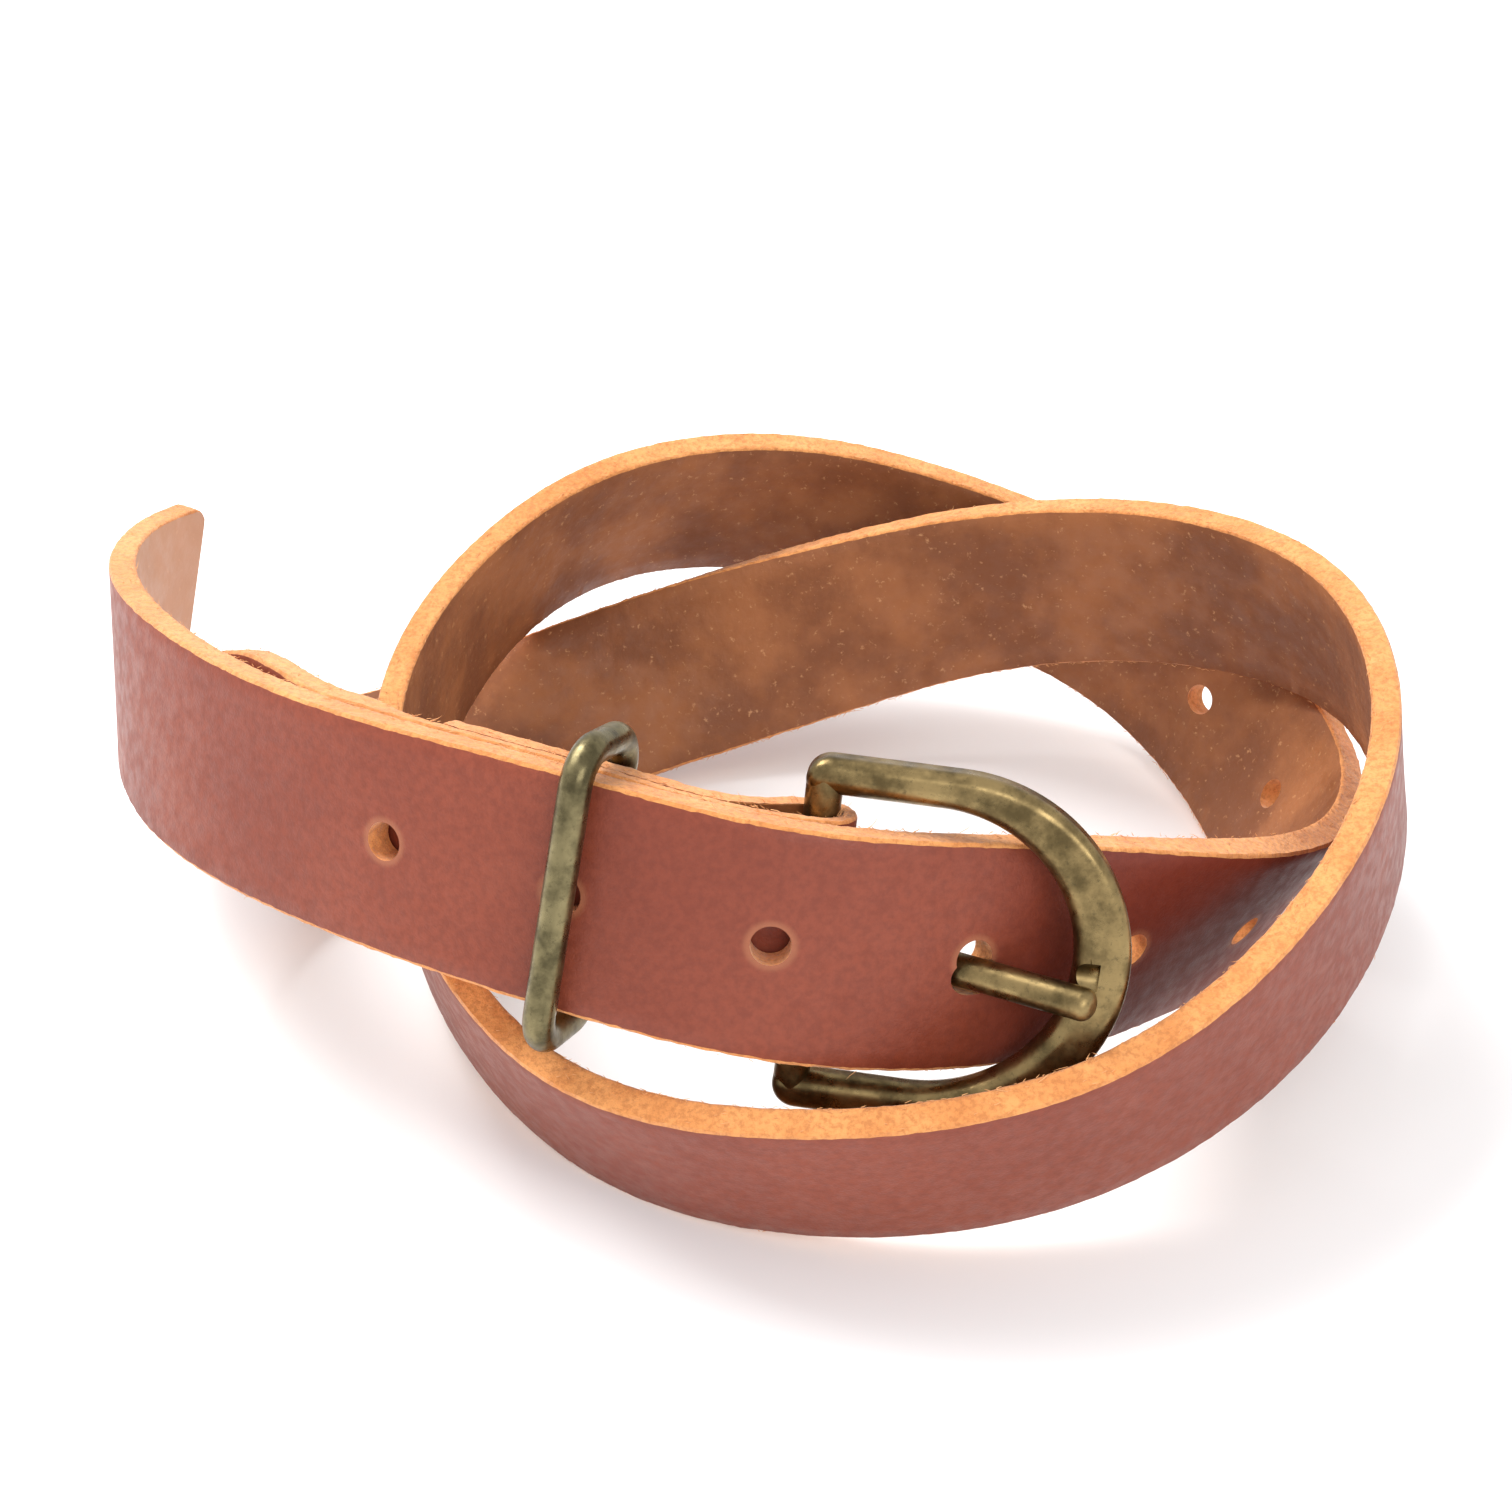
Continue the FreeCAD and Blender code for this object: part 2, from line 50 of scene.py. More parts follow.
# The strap's own sizes, in millimetres and degrees.
WIDTH = 30.0
THICK = 3.9
PLY = 1.95
LAP_GAP = 0.5
PLY_GAP = 0.3
TIP_CORNER = 2.5
FOLD_LENGTH = 54.0
HOLE_DIA = 5.0
HOLE_PITCH = 25.4
FIRST_HOLE = 112.2
HOLE_COUNT = 9
BAR_AT = 168.8
BAR_GAP = 0.6
EYE = 2.35
SKEW = math.radians(4.5)
YAW = math.radians(29.0)
FRAME_SHIFT = -1.2
PRONG_RAIL = ((14.0, 3.0), (35.2, -5.1))
PRONG_Z = -2.6
PRONG_ROOM = 2.4
PRONG_SWING = math.radians(2.7)

# The strap's resting route from the tip: x, y, z of its middle line, and its lean in degrees.
ROUTE = (
    (-95, 2, 32, 10),
    (-95, -31, 39, 7),
    (-80, -59, 44, 17),
    (-56, -81, 48, 18),
    (-27, -97, 50, 21),
    (5, -105, 47, 18),
    (37, -95, 38, 9),
    (61, -79, 28, -13),
    (79, -54, 17, -24),
    (82, -21, 14, -27),
    (65, 5, 21, -4),
    (36, 18, 30, 6),
    (4, 21, 38, 17),
    (-26, 10, 40, 22),
    (-46, -16, 35, 11),
    (-52, -47, 28, -2),
    (-43, -78, 19.5, -11),
    (-22, -102, 14, -21),
    (9, -113, 16, -19),
    (42, -109.5, 20.5, -13),
    (69, -93, 29, -2),
    (86, -67, 39, 9),
    (87, -34, 44, 20),
    (68, -9, 40, 12),
    (38, 3, 32, 0),
    (7, 4, 22, -17),
    (-25, -1, 12.5, -43),
    (-53, -17, 10, -57),
    (-72, -34, 15, -42),
    (-77, -49, 29, -6),
)
PANEL_STATIONS = 12
LAP_STARTS = ((78, 1.5), (89, 0.4), (100, 0.0))
LAP_END = LAP_STARTS[-1][0]

# How far before the bar each change of the fold begins, and where the strap is thinned.
SKEW_LENGTH = 34
GAP_LENGTH = 26
OPEN_LENGTH = 16
SKIVE_FROM, SKIVE_TO = 101, 112
CHORD_REACH = 36
SLOT_LENGTH, SLOT_DEPTH, SLOT_WIDTH = 13, 14, 6.6
SLOT_MIDDLE = 0.5
SLOT_ROOM = 0.3

# Spacing of the mesh rows along the strap, and the closer rows at its rounded tip corners.
ROW_STEP = 0.85
TIP_ROWS = (0, 0.15, 0.4, 0.8, 1.3, 1.9, 2.5)
FIRST_ROW = 3.3
TURN_ROWS = 15
PATH_SAMPLES = 6001


# ---- The strap's path ----

def end_slope(marks, values):
    """Slope at the first mark of the cubic through the first four values."""
    shape = np.polyfit(marks[:4] - marks[0], values[:4], 3)
    return shape[2]


class Spline:
    """A smooth cubic through values at marks."""

    def __init__(self, marks, values):
        self.marks, self.values = np.array(marks, float), np.array(values, float)
        steps = np.diff(self.marks)
        count = len(self.marks)
        rows = np.eye(count)
        wanted = np.zeros_like(self.values)
        wanted[0] = end_slope(self.marks, self.values)
        wanted[-1] = -end_slope(-self.marks[::-1], self.values[::-1])
        rises = np.diff(self.values, axis=0)
        for i in range(1, count - 1):
            before, after = steps[i - 1], steps[i]
            rows[i, i - 1:i + 2] = (1 / before, 2 / before + 2 / after, 1 / after)
            wanted[i] = 3 * (rises[i - 1] / before ** 2 + rises[i] / after ** 2)
        self.slopes = np.linalg.solve(rows, wanted)

    def at(self, marks):
        """Values and slopes at the marks."""
        marks = np.atleast_1d(marks)
        i = np.clip(np.searchsorted(self.marks, marks) - 1, 0, len(self.marks) - 2)
        step = self.marks[i + 1] - self.marks[i]
        t = ((marks - self.marks[i]) / step)[:, None]
        step = step[:, None]
        a, b = self.values[i], self.values[i + 1]
        p, q = self.slopes[i] * step, self.slopes[i + 1] * step
        value = a + t * p + t * t * (3 * (b - a) - 2 * p - q) + t ** 3 * (2 * (a - b) + p + q)
        slope = (p + 2 * t * (3 * (b - a) - 2 * p - q) + 3 * t * t * (2 * (a - b) + p + q)) / step
        return value, slope


def unit(vectors):
    return vectors / np.linalg.norm(vectors, axis=-1, keepdims=True)


class Ribbon:
    """A smooth middle line with a lean angle, measured by the distance along it."""

    def __init__(self, stations):
        rows = np.array(stations, float)
        marks = np.concatenate([[0], np.cumsum(np.linalg.norm(np.diff(rows[:, :3], axis=0), axis=1))])
        self.spline = Spline(marks, rows)
        self.fine = np.linspace(0, marks[-1], PATH_SAMPLES)
        speed = np.linalg.norm(self.spline.at(self.fine)[1][:, :3], axis=1)
        gaps = (speed[1:] + speed[:-1]) / 2 * np.diff(self.fine)
        self.distances = np.concatenate([[0], np.cumsum(gaps)])
        self.length = self.distances[-1]

    def axes(self, distances):
        """Points, directions, grain normals and up directions at distances from the tip."""
        marks = np.interp(np.atleast_1d(distances), self.distances, self.fine)
        value, slope = self.spline.at(marks)
        along = unit(slope[:, :3])
        side = unit(np.cross(along, (0, 0, 1)))
        rise = np.cross(side, along)
        lean = np.radians(value[:, 3:4])
        normal = side * np.cos(lean) + rise * np.sin(lean)
        up = rise * np.cos(lean) - side * np.sin(lean)
        return value[:, :3], along, normal, up


def stations_behind(panel):
    """Stations for the strap that closes in behind the panel, one lap away on its flesh side."""
    rows = []
    for start, extra in LAP_STARTS:
        point, along, normal, up = (row[0] for row in panel.axes(start))
        spot = point - normal * (THICK + LAP_GAP + extra)
        rise = np.cross(unit(np.cross(along, (0, 0, 1))), along)
        rows.append((*spot, math.degrees(math.asin(np.clip(normal @ rise, -1, 1)))))
    return rows


def ease(values, start, end):
    """0 before start, 1 after end, smooth between."""
    ratio = np.clip((np.asarray(values, float) - start) / (end - start), 0, 1)
    return ratio * ratio * (3 - 2 * ratio)


def turned(vectors, axis, angle):
    """Vectors turned by the right hand about an axis square to them."""
    angle = np.reshape(angle, (-1, 1))
    return vectors * np.cos(angle) + np.cross(axis, vectors) * np.sin(angle)


panel = Ribbon(ROUTE[:PANEL_STATIONS])
coil = Ribbon(list(ROUTE) + stations_behind(panel))
bar_point, panel_along, bar_normal, panel_up = (row[0] for row in panel.axes(BAR_AT))
bar_along = turned(panel_along, bar_normal, SKEW)[0]
bar_up = turned(panel_up, bar_normal, SKEW)[0]
bar_centre = bar_point - bar_normal * (THICK / 2 + BAR_GAP + PLY + EYE)
chord = panel.axes(BAR_AT + CHORD_REACH)[0][0] - bar_point
chord = unit(chord - bar_up * (chord @ bar_up))
buckle_x = turned(chord, bar_up, -YAW)[0]
buckle_y = np.cross(bar_up, buckle_x)
buckle_origin = bar_centre + bar_up * FRAME_SHIFT


def fold_axes(reach):
    """Points, normals and ups behind the panel, turning gradually to the bar's own directions."""
    point, along, normal, up = panel.axes(reach)
    share = ease(reach, BAR_AT - SKEW_LENGTH, BAR_AT)
    sweep = (reach - BAR_AT) * SKEW * share
    return point + up * sweep[:, None] * 0.5, normal, turned(up, normal, SKEW * share)


def fold_grain(reach):
    """How far the fold's grain face lies behind the panel's middle."""
    return THICK / 2 + LAP_GAP + ease(reach, BAR_AT - GAP_LENGTH, BAR_AT) * (BAR_GAP - LAP_GAP)


def strap_rows():
    """Points, normals, ups, grain and flesh offsets, and distances from the tip, along the strap."""
    run = np.concatenate([TIP_ROWS, np.arange(FIRST_ROW, coil.length, ROW_STEP)])
    point, along, normal, up = coil.axes(run)
    half = np.full(len(run), THICK / 2)
    groups = [(point, normal, up, half, -half, run)]
    # The ply that runs up to the bar, thinned on its flesh side.
    reach = np.arange(LAP_END, BAR_AT, ROW_STEP)[2:]
    point, normal, up = fold_axes(reach)
    grain = -fold_grain(reach)
    thick = THICK + (PLY - THICK) * ease(reach, SKIVE_FROM, SKIVE_TO)
    done = coil.length + reach - LAP_END
    groups.append((point, normal, up, grain, grain - thick, done))
    # Half a turn round the bar.
    angle = np.linspace(0, math.pi, TURN_ROWS)
    out = np.outer(np.cos(angle), bar_normal) + np.outer(np.sin(angle), bar_along)
    flat = np.ones(len(angle))
    turn_start = coil.length + BAR_AT - LAP_END
    groups.append((flat[:, None] * bar_centre, out, flat[:, None] * bar_up,
                   flat * (EYE + PLY), flat * EYE, turn_start + angle * (EYE + PLY)))
    # The return ply behind it, to the end of the fold.
    reach = np.arange(BAR_AT, BAR_AT - FOLD_LENGTH, -ROW_STEP)[1:]
    point, normal, up = fold_axes(reach)
    open_up = ease(reach, BAR_AT - OPEN_LENGTH, BAR_AT) * (2 * EYE - PLY_GAP)
    flesh = -(fold_grain(reach) + PLY + PLY_GAP + open_up)
    back_start = turn_start + math.pi * (EYE + PLY)
    groups.append((point, normal, up, flesh - PLY, flesh, back_start + BAR_AT - reach))
    return [np.concatenate([group[i] for group in groups]) for i in range(6)]


# ---- Leather strap ----

GRAIN, EDGE, FLESH = 0, 1, 2
GRAIN_STEPS = 12
EDGE_STEPS = 6
FLESH_STEPS = 8
GRAIN_ROUND = 0.45
FLESH_ROUND = 0.3
EDGE_ROUND = 0.3
RAGGED_OUT, RAGGED_IN = 0.16, 0.12
RAGGED_DEEP = 0.07


def strap_outline():
    """The strap's section, point by point.

    Each point has its share across (-1 to 1), its depth share, its insets across and in depth, and
    the zone of the face that follows it.
    """
    places = []
    for step in range(GRAIN_STEPS + 1):
        places.append((-1 + 2 * step / GRAIN_STEPS, 0.0, GRAIN_ROUND, 0.0, GRAIN))
    places[-1] = places[-1][:4] + (EDGE,)
    for step in range(EDGE_STEPS + 1):
        places.append((1.0, step / EDGE_STEPS, 0.0, EDGE_ROUND, EDGE))
    for step in range(FLESH_STEPS + 1):
        places.append((1 - 2 * step / FLESH_STEPS, 1.0, FLESH_ROUND, 0.0, FLESH))
    places[-1] = places[-1][:4] + (EDGE,)
    for step in range(EDGE_STEPS + 1):
        places.append((-1.0, 1 - step / EDGE_STEPS, 0.0, EDGE_ROUND, EDGE))
    return places


def ragged(point, amount):
    """A small uneven offset for a raw cut edge, in millimetres."""
    coarse = noise.noise(Vector(point) * 0.55)
    fine = noise.noise(Vector(point) * 1.7 + Vector((9, 4, 2)))
    return amount * (0.6 * coarse + 0.8 * fine)


def build_strap_mesh():
    points, normals, ups, grains, fleshes, runs = strap_rows()
    outline = strap_outline()
    mesh_points, uvs = [], []
    for point, normal, up, grain, flesh, run in zip(points, normals, ups, grains, fleshes, runs):
        corner = max(0.0, TIP_CORNER - run)
        half = WIDTH / 2 - TIP_CORNER + math.sqrt(TIP_CORNER ** 2 - corner ** 2)
        thick = grain - flesh
        for across, depth, inset, deep_inset, zone in outline:
            side = across * (half - inset)
            level = grain - thick * depth + deep_inset * (2 * depth - 1)
            spot = point + up * side + normal * level
            if abs(across) == 1:
                side_way = across * (ragged(spot, RAGGED_OUT) - RAGGED_IN)
                spot = spot + up * side_way + normal * ragged(spot[::-1], RAGGED_DEEP)
            mesh_points.append(spot)
            uvs.append((run / 100, side / 100 + 0.5))
    ring = len(outline)
    faces, zones = [], []
    for row in range(len(points) - 1):
        for step in range(ring):
            after = (step + 1) % ring
            low, high = row * ring, (row + 1) * ring
            faces.append((low + step, high + step, high + after, low + after))
            zones.append(outline[step][4])
    faces.append(tuple(range(ring)))
    faces.append(tuple(range(len(mesh_points) - 1, len(mesh_points) - ring - 1, -1)))
    zones += [EDGE, EDGE]
    mesh = bpy.data.meshes.new("strap_leather")
    mesh.from_pydata([tuple(spot * MM) for spot in mesh_points], [], faces)
    mesh.polygons.foreach_set("material_index", zones)
    layer = mesh.uv_layers.new(name="strap_uv")
    corners = np.zeros(len(mesh.loops), int)
    mesh.loops.foreach_get("vertex_index", corners)
    layer.data.foreach_set("uv", np.array(uvs)[corners].ravel())
    mesh.update()
    return mesh


def cutter(name, add, **sizes):
    """A primitive added by one of the mesh operators, then named and returned."""
    bpy.ops.object.select_all(action="DESELECT")
    add(**sizes)
    tool = bpy.context.active_object
    tool.name = name
    return tool


def at(point):
    """A point of the route, in metres."""
    return Vector(point) * MM


def rod_between(name, first, second, radius):
    """A closed round bar between two points, with flat ends."""
    reach = at(second) - at(first)
    return cutter(name, bpy.ops.mesh.primitive_cylinder_add, vertices=32, radius=radius * MM,
                  depth=reach.length, location=(at(first) + at(second)) / 2,
                  rotation=reach.to_track_quat("Z", "Y").to_euler())


def cut_away(body, tools, wall):
    """Each tool is cut out of the body, which takes its wall material there, then removed."""
    for tool in tools:
        tool.data.materials.append(wall)
        step = body.modifiers.new("cut", "BOOLEAN")
        step.operation = "DIFFERENCE"
        step.solver = "EXACT"
        step.material_mode = "TRANSFER"
        step.object = tool
        bpy.ops.object.select_all(action="DESELECT")
        bpy.context.view_layer.objects.active = body
        body.select_set(True)
        bpy.ops.object.modifier_apply(modifier=step.name)
        bpy.data.objects.remove(tool)


def hole_cutters():
    tools = []
    for index in range(HOLE_COUNT):
        point, along, normal, up = (row[0] for row in coil.axes(FIRST_HOLE + HOLE_PITCH * index))
        reach = normal * (0.6 * THICK)
        tools.append(rod_between("hole_%d" % index, point - reach, point + reach, HOLE_DIA / 2))
    return tools


def prong_cutters():
    """The prong's way through the strap, at rest and swung, and the slot for its ring."""
    tools = []
    for angle in (0.0, PRONG_SWING / 2, PRONG_SWING):
        ends = []
        for x, y in PRONG_RAIL:
            spot = buckle_x * x + buckle_y * y + bar_up * (PRONG_Z + FRAME_SHIFT)
            flat = spot - bar_up * (spot @ bar_up)
            ends.append(bar_centre + spot - flat + turned(flat, bar_up, -angle)[0])
        tools.append(rod_between("prong_way", *ends, PRONG_ROOM))
        tools.append(cutter("prong_way_end", bpy.ops.mesh.primitive_uv_sphere_add, segments=32, ring_count=16,
                            radius=PRONG_ROOM * MM, location=at(ends[0])))
    axes = Matrix([buckle_x, buckle_y, bar_up]).transposed().to_quaternion()
    depth = SLOT_DEPTH / 2 - EYE - PLY - SLOT_ROOM
    middle = buckle_origin + buckle_x * SLOT_MIDDLE + buckle_y * depth + bar_up * PRONG_Z
    tools.append(cutter("prong_slot", bpy.ops.mesh.primitive_cube_add, size=1, location=at(middle),
                        rotation=axes.to_euler(),
                        scale=(SLOT_LENGTH * MM, SLOT_DEPTH * MM, SLOT_WIDTH * MM)))
    return tools


def smooth(piece, degrees):
    bpy.ops.object.select_all(action="DESELECT")
    piece.select_set(True)
    bpy.context.view_layer.objects.active = piece
    bpy.ops.object.shade_smooth_by_angle(angle=math.radians(degrees))


def link(mesh, name):
    piece = bpy.data.objects.new(name, mesh)
    bpy.context.scene.collection.objects.link(piece)
    return piece


# ---- Materials ----

def new_material(name):
    material = bpy.data.materials.new(name)
    material.use_nodes = True
    tree = material.node_tree
    tree.nodes.clear()
    out = tree.nodes.new("ShaderNodeOutputMaterial")
    shader = tree.nodes.new("ShaderNodeBsdfPrincipled")
    tree.links.new(shader.outputs["BSDF"], out.inputs["Surface"])
    return material, tree, shader


def add_noise(tree, coordinates, scale, detail=3.0, roughness=0.55):
    node = tree.nodes.new("ShaderNodeTexNoise")
    node.inputs["Scale"].default_value = scale
    node.inputs["Detail"].default_value = detail
    node.inputs["Roughness"].default_value = roughness
    tree.links.new(coordinates, node.inputs["Vector"])
    return node.outputs["Fac"]


def add_range(tree, value, low, high, to_low=0.0, to_high=1.0):
    node = tree.nodes.new("ShaderNodeMapRange")
    node.interpolation_type = "SMOOTHSTEP"
    for socket, number in zip(("From Min", "From Max", "To Min", "To Max"), (low, high, to_low, to_high)):
        node.inputs[socket].default_value = number
    tree.links.new(value, node.inputs["Value"])
    return node.outputs["Result"]


def add_mix(tree, share, first, second):
    """A colour mix; first and second are colours or sockets."""
    node = tree.nodes.new("ShaderNodeMix")
    node.data_type = "RGBA"
    tree.links.new(share, node.inputs["Factor"])
    for socket, value in ((node.inputs[6], first), (node.inputs[7], second)):
        if isinstance(value, tuple):
            socket.default_value = (*value, 1.0)
        else:
            tree.links.new(value, socket)
    return node.outputs[2]


def add_math(tree, operation, first, second):
    node = tree.nodes.new("ShaderNodeMath")
    node.operation = operation
    for socket, value in zip(node.inputs, (first, second)):
        if isinstance(value, (int, float)):
            socket.default_value = value
        else:
            tree.links.new(value, socket)
    return node.outputs["Value"]


def add_bump(tree, height, strength, distance, normal=None):
    node = tree.nodes.new("ShaderNodeBump")
    node.inputs["Strength"].default_value = strength
    node.inputs["Distance"].default_value = distance
    tree.links.new(height, node.inputs["Height"])
    if normal is not None:
        tree.links.new(normal, node.inputs["Normal"])
    return node.outputs["Normal"]


def object_coordinates(tree):
    return tree.nodes.new("ShaderNodeTexCoord").outputs["Object"]


def strap_coordinates(tree):
    """Distance along and across the strap, both in tenths of a metre, from its own map."""
    node = tree.nodes.new("ShaderNodeUVMap")
    node.uv_map = "strap_uv"
    split = tree.nodes.new("ShaderNodeSeparateXYZ")
    tree.links.new(node.outputs["UV"], split.inputs["Vector"])
    return node.outputs["UV"], split.outputs["X"], split.outputs["Y"]


def hole_mask(tree, along, across):
    """1 at the rim of each adjusting hole, fading out over a millimetre or so."""
    pitch = HOLE_PITCH / 100
    steps = add_math(tree, "DIVIDE", add_math(tree, "SUBTRACT", along, FIRST_HOLE / 100), pitch)
    nearest = add_math(tree, "MAXIMUM", add_math(tree, "ROUND", steps, 0), 0)
    nearest = add_math(tree, "MINIMUM", nearest, HOLE_COUNT - 1)
    off_along = add_math(tree, "MULTIPLY", add_math(tree, "SUBTRACT", steps, nearest), pitch)
    off_across = add_math(tree, "SUBTRACT", across, 0.5)
    along_square = add_math(tree, "POWER", off_along, 2)
    across_square = add_math(tree, "POWER", off_across, 2)
    distance = add_math(tree, "SQRT", add_math(tree, "ADD", along_square, across_square), 0)
    return add_range(tree, distance, 0.026, 0.036, 1.0, 0.0)


def grain_leather():
    material, tree, shader = new_material("grain_leather")
    place = object_coordinates(tree)
    uv, along, across = strap_coordinates(tree)
    cloud = add_range(tree, add_noise(tree, place, 40, 4), 0.3, 0.72)
    mottle = add_range(tree, add_noise(tree, place, 900, 4, 0.6), 0.3, 0.72)
    colour = add_mix(tree, cloud, (0.215, 0.042, 0.020), (0.255, 0.054, 0.026))
    colour = add_mix(tree, add_math(tree, "MULTIPLY", mottle, 0.45), colour, (0.13, 0.022, 0.011))
    rub = add_range(tree, add_noise(tree, uv, 3.2, 5, 0.7), 0.55, 0.8)
    colour = add_mix(tree, add_math(tree, "MULTIPLY", rub, 0.25), colour, (0.33, 0.10, 0.055))
    # Painted shade: the stretch around the prong hole, where the strap curves in behind the buckle frame, is
    # darkened.
    buckle_shade = add_math(tree, "MULTIPLY", add_range(tree, along, 1.85, 2.05), add_range(tree, along, 2.6, 2.35))
    colour = add_mix(tree, add_math(tree, "MULTIPLY", buckle_shade, 0.5), colour, (0.13, 0.012, 0.008))
    rim = hole_mask(tree, along, across)
    colour = add_mix(tree, add_math(tree, "MULTIPLY", rim, 0.5), colour, (0.40, 0.15, 0.07))
    tree.links.new(colour, shader.inputs["Base Color"])
    rough = add_range(tree, add_noise(tree, place, 420, 3), 0.3, 0.7, 0.40, 0.56)
    tree.links.new(rough, shader.inputs["Roughness"])
    shader.inputs["Specular IOR Level"].default_value = 0.35
    pores = tree.nodes.new("ShaderNodeTexVoronoi")
    pores.feature = "DISTANCE_TO_EDGE"
    pores.inputs["Scale"].default_value = 1500
    tree.links.new(place, pores.inputs["Vector"])
    pebble = add_bump(tree, add_range(tree, pores.outputs["Distance"], 0.0, 0.22), 0.22, 0.00006)
    wrinkle = add_bump(tree, add_noise(tree, place, 480, 5, 0.65), 0.32, 0.0002, pebble)
    tree.links.new(wrinkle, shader.inputs["Normal"])
    return material


def edge_leather():
    material, tree, shader = new_material("edge_leather")
    place = object_coordinates(tree)
    cloud = add_range(tree, add_noise(tree, place, 140, 4), 0.3, 0.7)
    speck = add_range(tree, add_noise(tree, place, 1300, 4, 0.7), 0.4, 0.66)
    colour = add_mix(tree, cloud, (0.68, 0.26, 0.075), (0.80, 0.35, 0.115))
    colour = add_mix(tree, add_math(tree, "MULTIPLY", speck, 0.55), colour, (0.40, 0.13, 0.035))
    tree.links.new(colour, shader.inputs["Base Color"])
    shader.inputs["Roughness"].default_value = 0.85
    shader.inputs["Specular IOR Level"].default_value = 0.25
    shader.inputs["Sheen Weight"].default_value = 0.25
    shader.inputs["Sheen Roughness"].default_value = 0.5
    coarse = add_bump(tree, add_noise(tree, place, 700, 5, 0.7), 0.8, 0.0005)
    tree.links.new(coarse, shader.inputs["Normal"])
    return material


def flesh_leather():
    material, tree, shader = new_material("flesh_leather")
    place = object_coordinates(tree)
    cloud = add_range(tree, add_noise(tree, place, 60, 5, 0.6), 0.35, 0.66)
    colour = add_mix(tree, cloud, (0.20, 0.062, 0.018), (0.34, 0.12, 0.038))
    fleck = add_range(tree, add_noise(tree, place, 900, 3, 0.7), 0.60, 0.74)
    colour = add_mix(tree, add_math(tree, "MULTIPLY", fleck, 0.55), colour, (0.66, 0.34, 0.15))
    along = strap_coordinates(tree)[1]
    # Painted sheen: the flesh face is mixed towards a pale colour within 35 mm of the tip, fading out by 90
    # mm.
    tip = add_range(tree, along, 0.9, 0.35)
    colour = add_mix(tree, add_math(tree, "MULTIPLY", tip, 0.75), colour, (0.66, 0.37, 0.23))
    tree.links.new(colour, shader.inputs["Base Color"])
    rough = add_range(tree, add_noise(tree, place, 300, 4), 0.3, 0.7, 0.5, 0.72)
    tree.links.new(rough, shader.inputs["Roughness"])
    pebble = add_bump(tree, add_noise(tree, place, 520, 5, 0.6), 0.5, 0.0004)
    tree.links.new(pebble, shader.inputs["Normal"])
    return material


def fibre_leather():
    material, tree, shader = new_material("fibre_leather")
    shader.inputs["Base Color"].default_value = (0.72, 0.36, 0.15, 1)
    shader.inputs["Roughness"].default_value = 0.8
    return material


def antique_brass(name, tint):
    """Dark patina and rubbed bright metal in noise patches, with dark specks."""
    material, tree, shader = new_material(name)
    place = object_coordinates(tree)
    patch = add_range(tree, add_noise(tree, place, 160, 5, 0.62), 0.38, 0.66)
    colour = add_mix(tree, patch, tint, tuple(value * 0.35 for value in tint))
    speck = add_range(tree, add_noise(tree, place, 1400, 4, 0.7), 0.55, 0.72)
    colour = add_mix(tree, add_math(tree, "MULTIPLY", speck, 0.5), colour, (0.06, 0.05, 0.028))
    tree.links.new(colour, shader.inputs["Base Color"])
    shader.inputs["Metallic"].default_value = 1.0
    rough = add_range(tree, add_noise(tree, place, 500, 5, 0.65), 0.3, 0.72, 0.24, 0.46)
    tree.links.new(rough, shader.inputs["Roughness"])
    dents = add_bump(tree, add_noise(tree, place, 380, 4, 0.5), 0.12, 0.0002)
    tree.links.new(dents, shader.inputs["Normal"])
    return material


# ---- Raw edge fibres ----

FIBRE_COUNT = 3600
FIBRE_SIDES = 3
FLOOR_ROOM = 0.00003


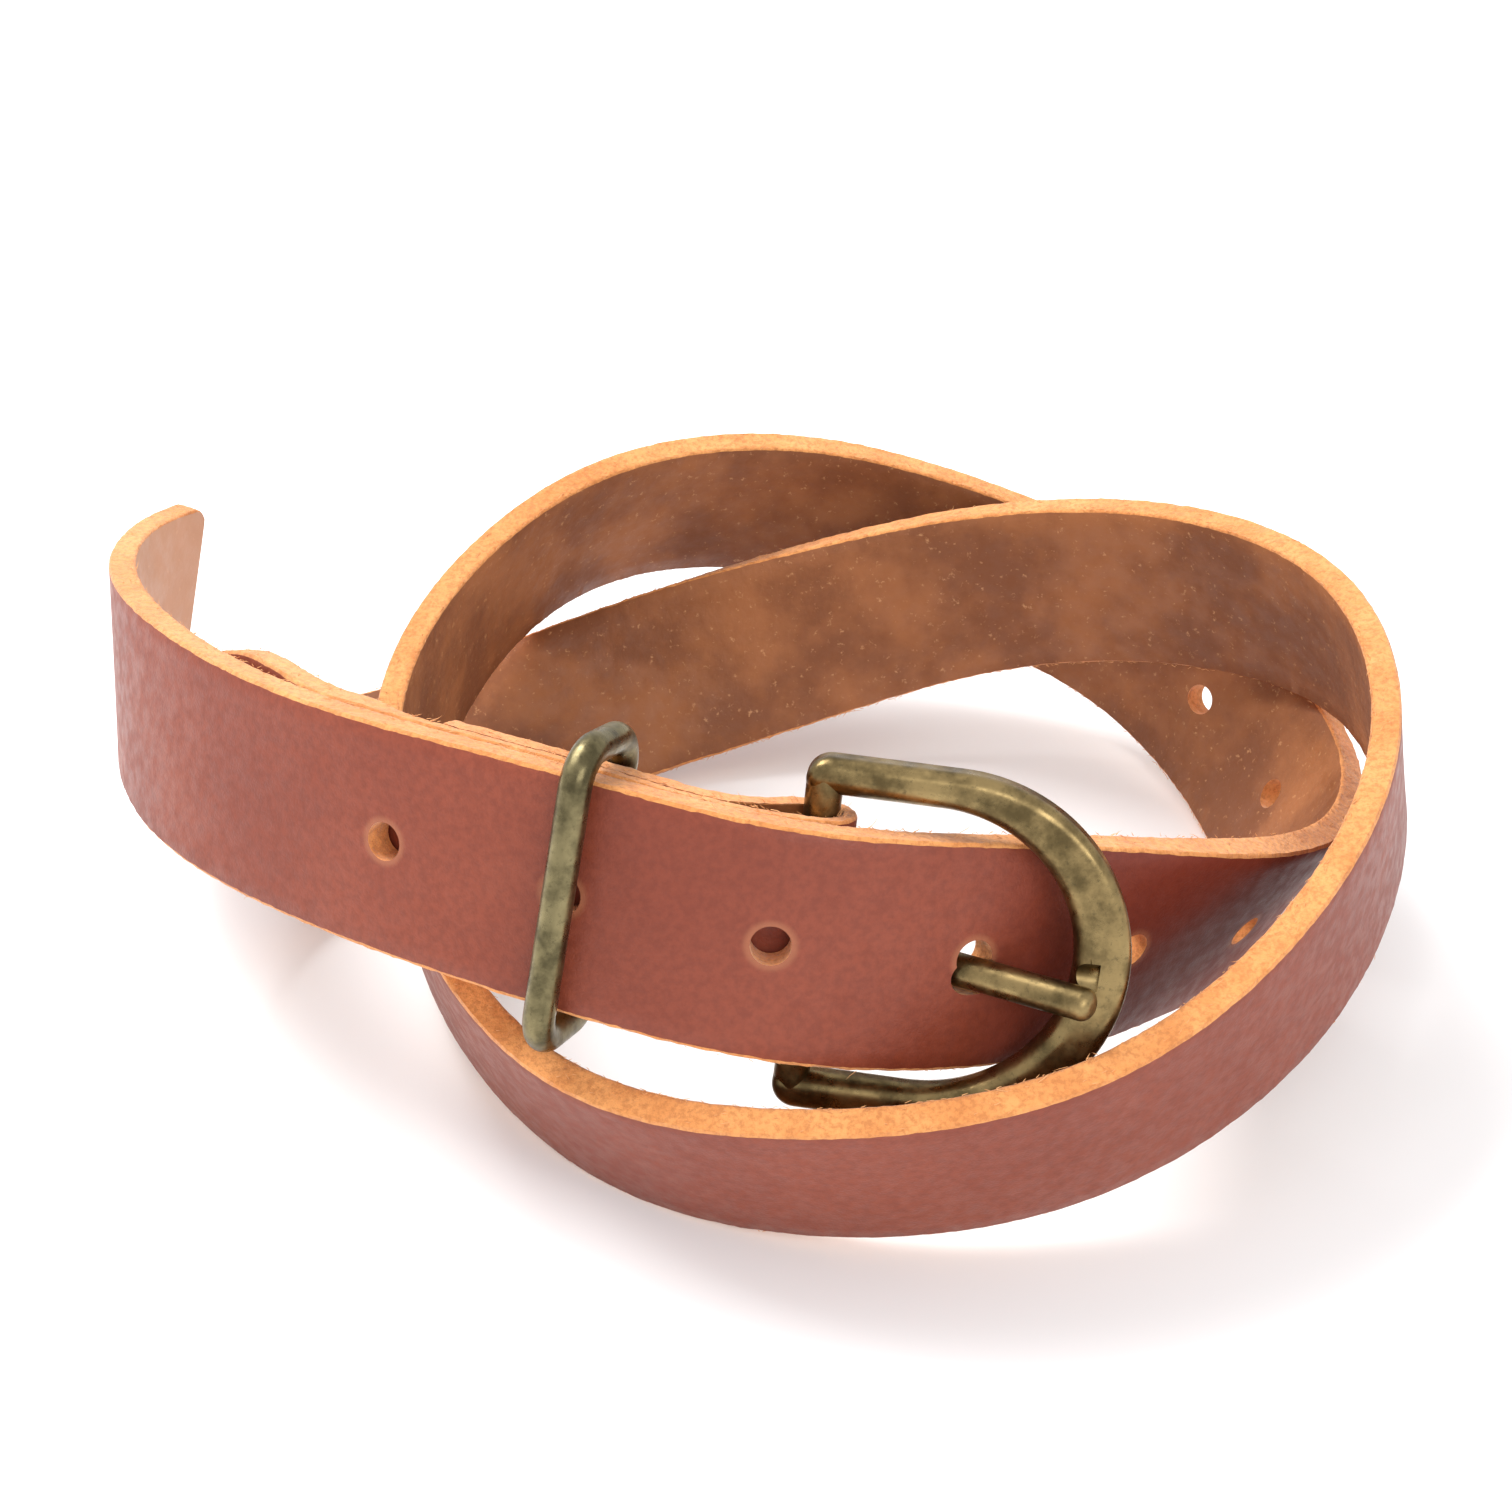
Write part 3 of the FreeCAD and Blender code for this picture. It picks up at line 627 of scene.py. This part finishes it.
def build_fibres(shift):
    """Short loose fibres along both cut edges: curved, tapered and closed."""
    draw = random.Random(11)
    points, normals, ups, grains, fleshes, runs = strap_rows()
    spots, faces = [], []
    for fibre in range(FIBRE_COUNT):
        row = draw.randrange(3, len(points) - 3)
        along = unit(points[row + 1] - points[row - 1] + 1e-9)
        side = draw.choice((-1.0, 1.0))
        depth = draw.choice((draw.uniform(0.75, 1.0), draw.uniform(0.0, 1.0), 0.97))
        level = grains[row] + (fleshes[row] - grains[row]) * depth
        root = points[row] + ups[row] * (side * (WIDTH / 2 - 0.1)) + normals[row] * level
        reach = draw.uniform(0.35, 1.0) if draw.random() < 0.93 else draw.uniform(1.0, 2.2)
        lift = draw.uniform(0.15, 0.75)
        way = along * draw.choice((-1, 1))
        aim = unit(way + ups[row] * side * lift + normals[row] * draw.uniform(-0.5, 0.5))
        curl = unit(np.cross(aim, normals[row])) * draw.uniform(-0.4, 0.4) * reach
        thick = draw.uniform(0.035, 0.065)
        across = unit(np.cross(aim, ups[row]))
        other = np.cross(aim, across)
        base = len(spots)
        for share, width in ((0.0, 1.0), (0.55, 0.8)):
            centre = root + aim * (reach * share) + curl * share * share
            for corner in range(FIBRE_SIDES):
                turn = 2 * math.pi * corner / FIBRE_SIDES
                spots.append(centre + (across * math.cos(turn) + other * math.sin(turn)) * thick * width)
        spots.append(root + aim * reach + curl)
        for corner in range(FIBRE_SIDES):
            after = (corner + 1) % FIBRE_SIDES
            middle = base + FIBRE_SIDES
            faces.append((base + corner, base + after, middle + after, middle + corner))
            faces.append((middle + corner, middle + after, middle + FIBRE_SIDES))
        faces.append(tuple(base + corner for corner in reversed(range(FIBRE_SIDES))))
    placed = np.array(spots) * MM + shift
    placed[:, 2] = np.maximum(placed[:, 2], FLOOR_ROOM)
    mesh = bpy.data.meshes.new("edge_fibres")
    mesh.from_pydata([tuple(spot) for spot in placed], [], faces)
    piece = link(mesh, "edge_fibres")
    bpy.ops.object.select_all(action="DESELECT")
    bpy.context.view_layer.objects.active = piece
    piece.select_set(True)
    bpy.ops.object.mode_set(mode="EDIT")
    bpy.ops.mesh.select_all(action="SELECT")
    bpy.ops.mesh.normals_make_consistent(inside=False)
    bpy.ops.object.mode_set(mode="OBJECT")
    return piece


# ---- Assembly ----

strap_mesh = build_strap_mesh()
strap = link(strap_mesh, "strap_leather")
raw_edge = edge_leather()
for material in (grain_leather(), raw_edge, flesh_leather()):
    strap.data.materials.append(material)
cut_away(strap, hole_cutters() + prong_cutters(), raw_edge)
low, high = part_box("strap")
spots = np.array([vertex.co for vertex in strap.data.vertices])
own_middle = (spots.max(0) + spots.min(0)) / 2
shift = np.array((low + high) / 2) - own_middle
shift[2] = low.z - spots[:, 2].min()
strap.data.transform(Matrix.Translation(shift))
smooth(strap, 50)
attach(strap, "strap")
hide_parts("strap")

fibres = build_fibres(shift)
fibres.data.materials.append(fibre_leather())
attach(fibres, "strap")

frame_brass = antique_brass("frame_brass", (0.30, 0.215, 0.095))
keeper_brass = antique_brass("keeper_brass", (0.235, 0.195, 0.10))
for name, brass in (("buckle_frame", frame_brass), ("prong", frame_brass), ("keeper_loop", keeper_brass),
                    ("rivet_posts", frame_brass), ("rivet_caps", frame_brass)):
    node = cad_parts[name]
    node.data.materials.clear()
    node.data.materials.append(brass)
    smooth(node, 40)

# ---- Floor, light and camera ----

bpy.ops.object.select_all(action="DESELECT")
bpy.ops.mesh.primitive_plane_add(size=8, location=(0, 0, 0))
floor = bpy.context.active_object
floor.name = "floor"
floor_paint, floor_tree, floor_shader = new_material("floor_paint")
floor_shader.inputs["Base Color"].default_value = (0.93, 0.93, 0.935, 1)
floor_shader.inputs["Roughness"].default_value = 0.7
floor_shader.inputs["Specular IOR Level"].default_value = 0.2
floor.data.materials.append(floor_paint)

world = bpy.data.worlds.new("studio")
world.use_nodes = True
world.node_tree.nodes["Background"].inputs["Color"].default_value = (1.0, 1.0, 1.0, 1)
world.node_tree.nodes["Background"].inputs["Strength"].default_value = 1.0
bpy.context.scene.world = world
bpy.context.scene.view_settings.view_transform = "Standard"


def soft_lamp(name, spot, target, size, power):
    data = bpy.data.lights.new(name, "AREA")
    data.shape = "RECTANGLE"
    data.size, data.size_y = size
    data.energy = power
    lamp = bpy.data.objects.new(name, data)
    bpy.context.scene.collection.objects.link(lamp)
    lamp.location = spot
    lamp.rotation_euler = (Vector(target) - Vector(spot)).to_track_quat("-Z", "Y").to_euler()
    return lamp


soft_lamp("key_lamp", (-0.42, 0.28, 0.75), (0, -0.02, 0.03), (0.5, 0.5), 9)
soft_lamp("front_lamp", (0.35, -0.75, 0.55), (0, 0, 0.03), (0.6, 0.4), 3)

ELEVATION = math.radians(35.31)
DISTANCE = 0.35572
ROLL = math.radians(0.458)
aim = Vector(shift)
view_line = Vector((0, -math.cos(ELEVATION), math.sin(ELEVATION)))
camera_data = bpy.data.cameras.new("camera")
camera_data.sensor_width = 36
camera_data.lens = 48.58
camera = bpy.data.objects.new("camera", camera_data)
bpy.context.scene.collection.objects.link(camera)
camera.location = aim + view_line * DISTANCE
camera.rotation_mode = "QUATERNION"
roll = Quaternion((0, 0, 1), ROLL)
camera.rotation_quaternion = (-view_line).to_track_quat("-Z", "Y") @ roll
bpy.context.scene.camera = camera
